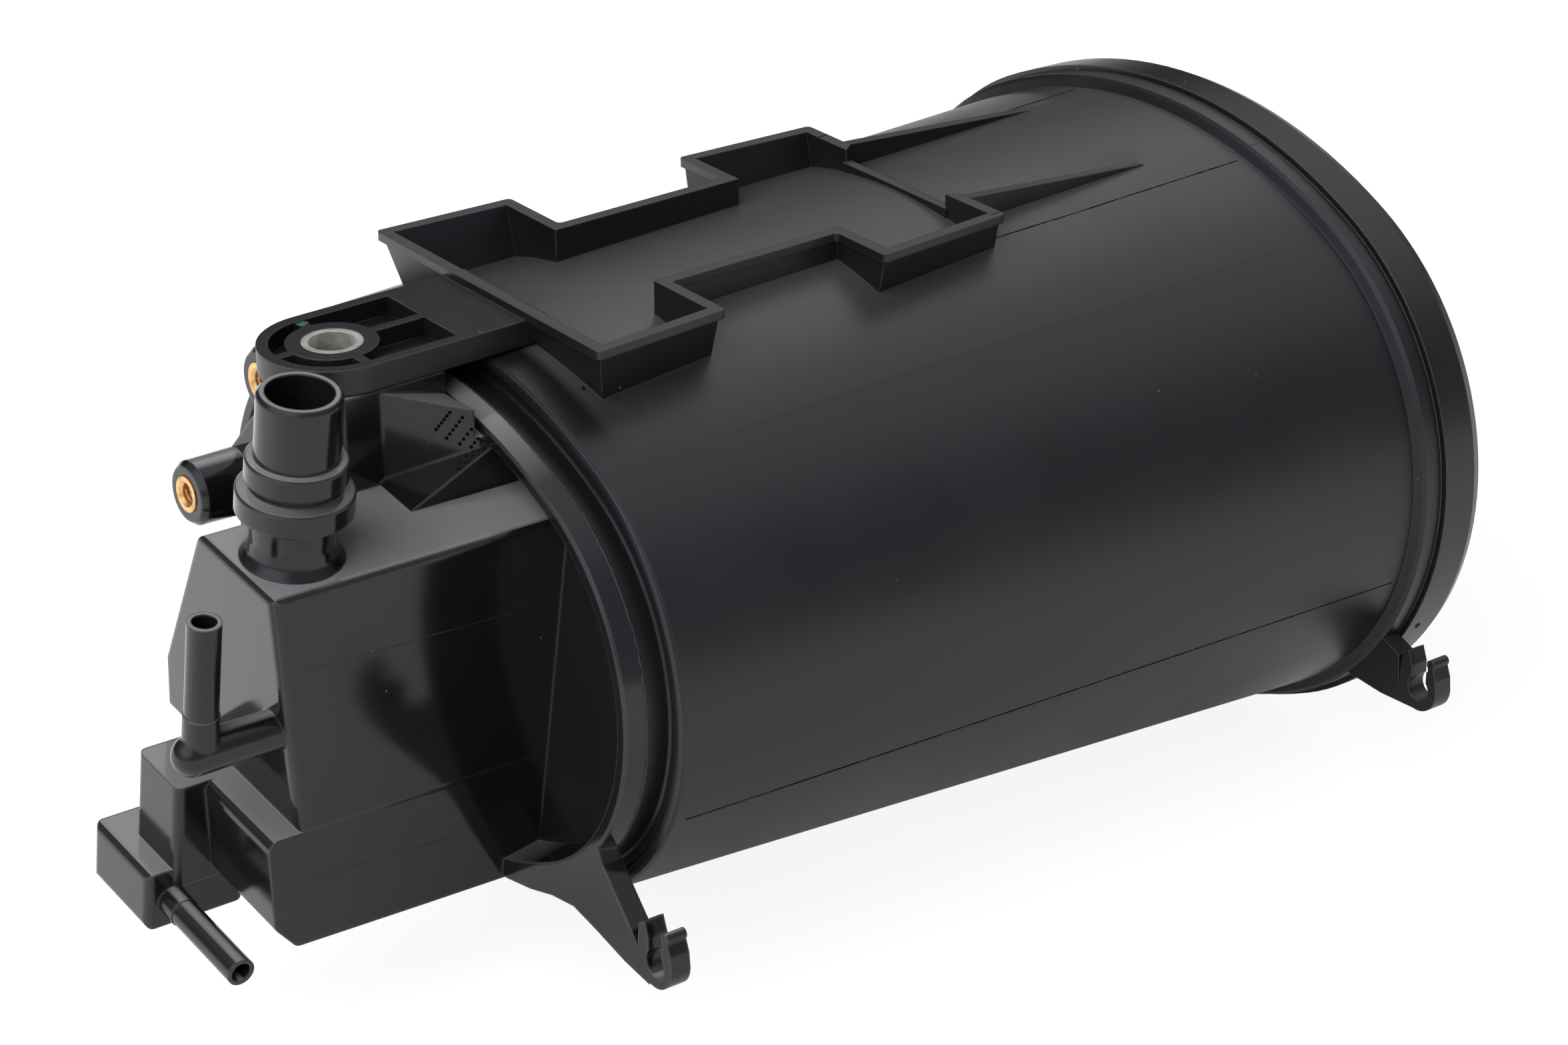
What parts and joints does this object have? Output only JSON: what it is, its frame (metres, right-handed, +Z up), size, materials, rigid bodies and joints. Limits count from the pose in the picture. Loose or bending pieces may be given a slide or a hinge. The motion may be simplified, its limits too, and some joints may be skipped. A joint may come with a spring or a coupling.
{
  "type": "charcoal canister",
  "caption": "Oval black vapour canister with a dovetail slide bracket and mounting ear on top, a ported head with a vent tube and hose nipples, and snap clips along its lower edge.",
  "frame": {"origin": "top centre of the steel bushing in the mounting ear", "axes": "+Z up along the bushing's bore, +X from the ported head to the end cap, +Y away from the vent tube's side"},
  "size_m": [0.3396, 0.2215, 0.1753],
  "materials": {
    "case": "satin",
    "head": "glossy",
    "cap": "satin",
    "steel": "zinc plated",
    "brass": "machined",
    "charcoal": "granular",
    "pad": "felt",
    "plate": "matte",
    "spring": "drawn wire"
  },
  "bodies": {
    "root": {"body_shell": "case", "front_head": "head", "end_cap": "cap", "ear_bushing": "steel", "upper_insert": "brass", "lower_insert": "brass", "main_charcoal": "charcoal", "aux_charcoal": "charcoal", "main_front_pad": "pad", "main_rear_pad": "pad", "aux_front_pad": "pad", "aux_rear_pad": "pad", "main_plate": "plate", "aux_plate": "plate", "main_springs": "spring", "aux_spring": "spring"}
  },
  "joints": []
}
